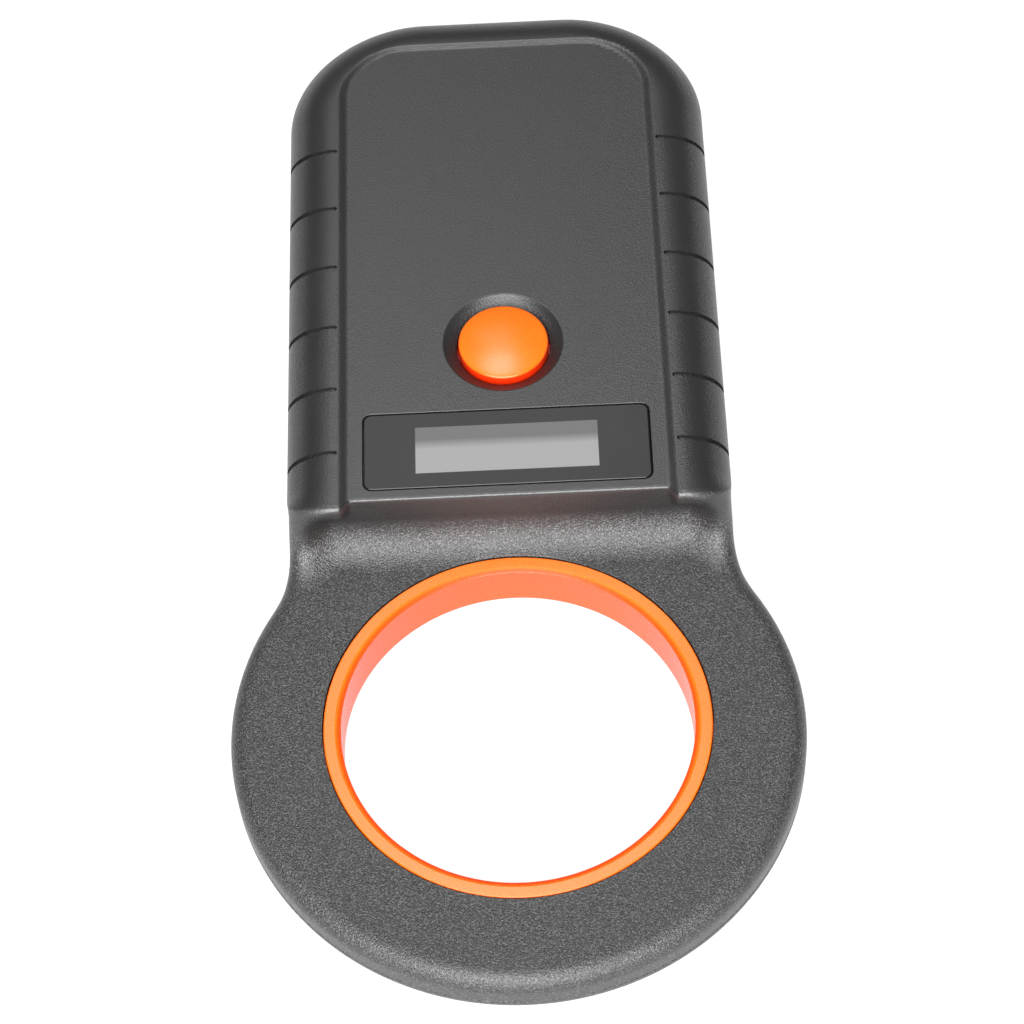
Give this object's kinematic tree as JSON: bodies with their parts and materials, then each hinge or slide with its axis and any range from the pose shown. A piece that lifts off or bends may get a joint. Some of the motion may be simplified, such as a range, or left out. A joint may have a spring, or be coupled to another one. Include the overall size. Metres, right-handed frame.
{
  "type": "handheld microchip scanner",
  "caption": "Handheld pet microchip scanner: a flat handle with a display and a scan button, joined to a ring-shaped reading loop with a coloured liner.",
  "frame": {"origin": "centre of the bounding box's footprint, on the flat back", "axes": "+Y along the handle from the reading loop to the far end, +Z out of the display face, +X to the right when the display is read with the loop nearest the reader"},
  "size_m": [0.081, 0.1656, 0.0194],
  "materials": {
    "black_plastic": "fine spark grain, semi-matte",
    "orange_plastic": "smooth satin",
    "lens_acrylic": "polished, with a clear window",
    "black_tape": "thin double-sided tape",
    "display_glass": "display glass, switched off",
    "flex_film": "amber polyimide film",
    "white_plastic": "plain moulded",
    "circuit_board": "green solder mask",
    "chip_epoxy": "moulded epoxy",
    "tinned_steel": "tin plated",
    "ferrite": "ferrite and resin",
    "ceramic": "fired ceramic",
    "black_resin": "plain moulded",
    "switch_stem_plastic": "plain moulded",
    "copper_wire": "enamelled copper",
    "foil_pouch": "laminated foil",
    "foam_tape": "closed-cell foam tape",
    "wire_insulation": "flexible insulation",
    "screw_steel": "zinc plated",
    "label_film": "blank printed film"
  },
  "bodies": {
    "casing": {"front_cover": "black_plastic", "rear_cover": "black_plastic", "loop_liner": "orange_plastic", "display_lens": "lens_acrylic", "lens_adhesive": "black_tape", "display_glass": "display_glass", "display_ribbon": "flex_film", "display_holder": "white_plastic", "main_board": "circuit_board", "microcontroller": "chip_epoxy", "reader_chip": "chip_epoxy", "crystal": "tinned_steel", "power_inductor": "ferrite", "chip_capacitors": "ceramic", "chip_resistors": "chip_epoxy", "buzzer": "black_resin", "switch_body": "black_resin", "antenna_bobbin": "white_plastic", "antenna_coil": "copper_wire", "antenna_leads": "copper_wire", "battery_cell": "foil_pouch", "battery_tape": "foam_tape", "battery_connector": "white_plastic", "battery_leads": "wire_insulation", "usb_socket": "tinned_steel", "board_screws": "screw_steel", "cover_screws": "screw_steel", "rear_label": "label_film"},
    "button": {"scan_button": "orange_plastic"},
    "stem": {"switch_stem": "switch_stem_plastic"}
  },
  "joints": [
    {"name": "button_press", "type": "slide", "parent": "casing", "child": "button", "axis": [0, 0, -1], "range_m": [0, 0.0005], "stiffness_N_per_m": 3000},
    {"name": "stem_press", "type": "slide", "parent": "casing", "child": "stem", "axis": [0, 0, -1], "range_m": [0, 0.0005]}
  ],
  "couplings": [
    {"joint": "stem_press", "follows": "button_press", "ratio": 1}
  ]
}
